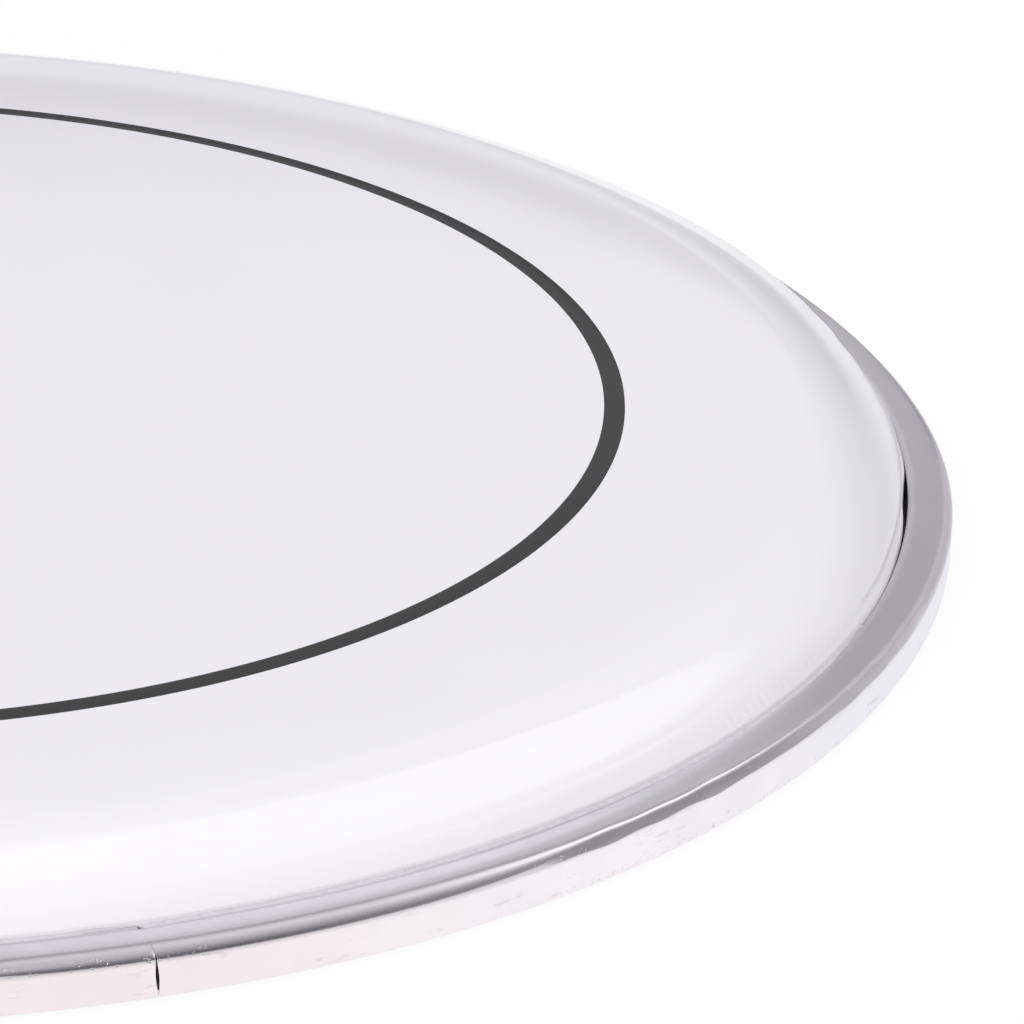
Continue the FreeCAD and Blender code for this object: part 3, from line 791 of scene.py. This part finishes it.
def hang_soft_box(name, length, width, radiance, stops, reach):
    """An oval area light over the head, facing down, dimmer at its left end. Stops give its strength from its
    middle out to its edge. Reach is the share of its width that shines, counted from the camera's side."""
    lamp = bpy.data.lights.new(name, "AREA")
    lamp.shape = "RECTANGLE"
    lamp.size = length
    lamp.size_y = width
    lamp.energy = radiance * math.pi * length * width
    lamp.use_nodes = True
    tree = lamp.node_tree
    tree.nodes.clear()
    spot = add_node(tree, "NewGeometry", {}).outputs["Parametric"]
    offset = add_node(tree, "VectorMath", {0: spot, 1: (0.5, 0.5, 0)}, operation="SUBTRACT").outputs["Vector"]
    offset = add_node(tree, "VectorMath", {0: offset, 1: (2, 2, 0)}, operation="MULTIPLY").outputs["Vector"]
    outwards = add_node(tree, "VectorMath", {0: offset}, operation="LENGTH").outputs["Value"]
    fall = add_node(tree, "ValToRGB", {"Fac": outwards})
    while len(fall.color_ramp.elements) < len(stops):
        fall.color_ramp.elements.new(0.5)
    for element, (share, strength) in zip(fall.color_ramp.elements, stops):
        element.position = share
        element.color = (strength, strength, strength, 1)
    sides = add_node(tree, "SeparateXYZ", {"Vector": spot}).outputs
    shown = add_node(tree, "MapRange", {"Value": sides["Y"], "From Min": reach, "From Max": reach + 0.1,
                                        "To Min": 1, "To Max": 0},
                     interpolation_type="SMOOTHSTEP").outputs["Result"]
    lit_end = add_node(tree, "MapRange", {"Value": sides["X"], "From Min": 0.1, "From Max": 0.6,
                                          "To Min": BOX_DIM_END, "To Max": 1}).outputs["Result"]
    strength = add_node(tree, "Math", {0: fall.outputs["Color"], 1: shown},
                        operation="MULTIPLY").outputs["Value"]
    strength = add_node(tree, "Math", {0: strength, 1: lit_end}, operation="MULTIPLY").outputs["Value"]
    shine = add_node(tree, "Emission", {"Color": [1, 1, 1, 1], "Strength": strength})
    add_node(tree, "OutputLight", {"Surface": shine.outputs["Emission"]})
    box = bpy.data.objects.new(name, lamp)
    box.matrix_world = (Matrix.Rotation(math.radians(BOX_AZIMUTH), 4, "Z")
                        @ Matrix.Translation((BOX_ALONG, BOX_ACROSS, BOX_HEIGHT)))
    bpy.context.scene.collection.objects.link(box)


hang_soft_box("soft_box", 1.8, 0.95, 0.84, [(0, 1), (0.86, 1), (0.94, 0.8), (1, 0)], 1)
hang_soft_box("soft_box_rim", 2.64, 1.68, 0.65, [(0, 0), (0.78, 0), (0.86, 1), (0.9, 1), (1, 0)], 0.3)

fill_lamp = bpy.data.lights.new("front_fill", "AREA")
fill_lamp.shape = "RECTANGLE"
fill_lamp.size = FILL_SIDE
fill_lamp.size_y = FILL_SIDE
fill_lamp.energy = FILL_RADIANCE * math.pi * FILL_SIDE * FILL_SIDE
front_fill = bpy.data.objects.new("front_fill", fill_lamp)
front_fill.matrix_world = (Matrix.Rotation(math.radians(FILL_AZIMUTH), 4, "Z")
                           @ Matrix.Rotation(math.radians(FILL_TILT), 4, "Y")
                           @ Matrix.Translation((0, 0, FILL_DISTANCE)))
bpy.context.scene.collection.objects.link(front_fill)

# The room: pale grey walls and a bright ceiling. Behind the table is a paler sweep with a dark gap over it,
# and to the right the room is darker, darkest near the camera, which gives the bright metal its dark edge.
# Beside the soft box the ceiling is dimmer, so that the box's reflection has a clear edge.
ROOM_BLUE = 1.02
room = bpy.data.worlds.new("studio_room")
room.use_nodes = True
tree = room.node_tree
tree.nodes.clear()
sky = add_node(tree, "TexCoord", {}).outputs["Generated"]
sky_split = add_node(tree, "SeparateXYZ", {"Vector": sky}).outputs
climb = sky_split["Z"]
sky_flat = add_node(tree, "CombineXYZ", {"X": sky_split["X"], "Y": sky_split["Y"]}).outputs["Vector"]
sky_heading = add_node(tree, "VectorMath", {0: sky_flat}, operation="NORMALIZE").outputs["Vector"]


def sky_ramp(stops):
    """A grey that changes with height: each stop is an elevation in degrees and a radiance."""
    ramp = add_node(tree, "ValToRGB", {"Fac": climb})
    while len(ramp.color_ramp.elements) < len(stops):
        ramp.color_ramp.elements.new(0.5)
    for element, (elevation, grey) in zip(ramp.color_ramp.elements, stops):
        element.position = math.sin(math.radians(elevation))
        element.color = (grey, grey, grey * ROOM_BLUE, 1)
    return ramp.outputs["Color"]


def towards(azimuth, near, far):
    """How far a direction lies towards that azimuth: 1 within near degrees of it, 0 beyond far degrees."""
    turn = math.radians(azimuth)
    closeness = add_node(tree, "VectorMath", {0: sky_heading, 1: (math.cos(turn), math.sin(turn), 0)},
                         operation="DOT_PRODUCT").outputs["Value"]
    return add_node(tree, "MapRange", {"Value": closeness, "From Min": math.cos(math.radians(far)),
                                       "From Max": math.cos(math.radians(near))},
                    interpolation_type="SMOOTHSTEP").outputs["Result"]


walls = sky_ramp([(0, 0.8), (16, 0.75), (21, 0.62), (32, 0.64), (45, 1.08), (60, 1.38), (70, 1.05)])
far_wall = sky_ramp([
    (0, 0.54), (12, 0.54), (16.5, 0.52), (17.3, 0.38), (17.9, 0), (19.4, 0), (19.9, 0.55), (21.5, 0.62),
    (23.5, 0.5), (26, 0.5), (29, 0.6), (33, 0.66), (45, 0.6), (58, 0.5), (66, 0.6), (72, 1.0)])
far_right = sky_ramp([
    (0, 0.5), (4, 0.25), (6, 0.15), (12, 0.15), (16, 0.25), (19, 0.4), (22, 0.55), (32, 0.62), (42, 0.52),
    (48, 0.46), (56, 0.7), (65, 1.0)])
right_side = sky_ramp([(0, 0.38), (16, 0.4), (28, 0.48), (36, 0.6), (42, 0.72), (50, 0.8), (65, 1.0)])
dark_side = sky_ramp([
    (0, 0.06), (12, 0.12), (25, 0.28), (38, 0.5), (50, 0.72), (60, 0.8), (70, 0.65), (78, 0.9)])
view = walls
for part, share in ((far_wall, towards(105, 32, 42)), (far_right, towards(57, 14, 24)),
                    (right_side, towards(0, 30, 42)), (dark_side, towards(-62, 8, 42))):
    view = add_node(tree, "Mix", {0: share, 6: view, 7: part}, data_type="RGBA").outputs[2]
glow = add_node(tree, "Background", {"Color": view, "Strength": 1}).outputs["Background"]
add_node(tree, "OutputWorld", {"Surface": glow})
bpy.context.scene.world = room


# Camera: fitted to the photograph's rings, from the near side and a little above, with a long lens.
CAMERA_PLACE = (0, -0.87636, 0.373521)
CAMERA_TURN = -0.131779901
CAMERA_DIP = 0.406574618
CAMERA_ROLL = 0.038010789
camera_data = bpy.data.cameras.new("camera")
camera_data.lens = 206.392
camera_data.sensor_width = 36
camera = bpy.data.objects.new("camera", camera_data)
camera.matrix_world = (Matrix.Translation(CAMERA_PLACE) @ Matrix.Rotation(CAMERA_TURN, 4, "Z")
                       @ Matrix.Rotation(math.pi / 2 - CAMERA_DIP, 4, "X")
                       @ Matrix.Rotation(CAMERA_ROLL, 4, "Z"))
bpy.context.scene.collection.objects.link(camera)
bpy.context.scene.camera = camera
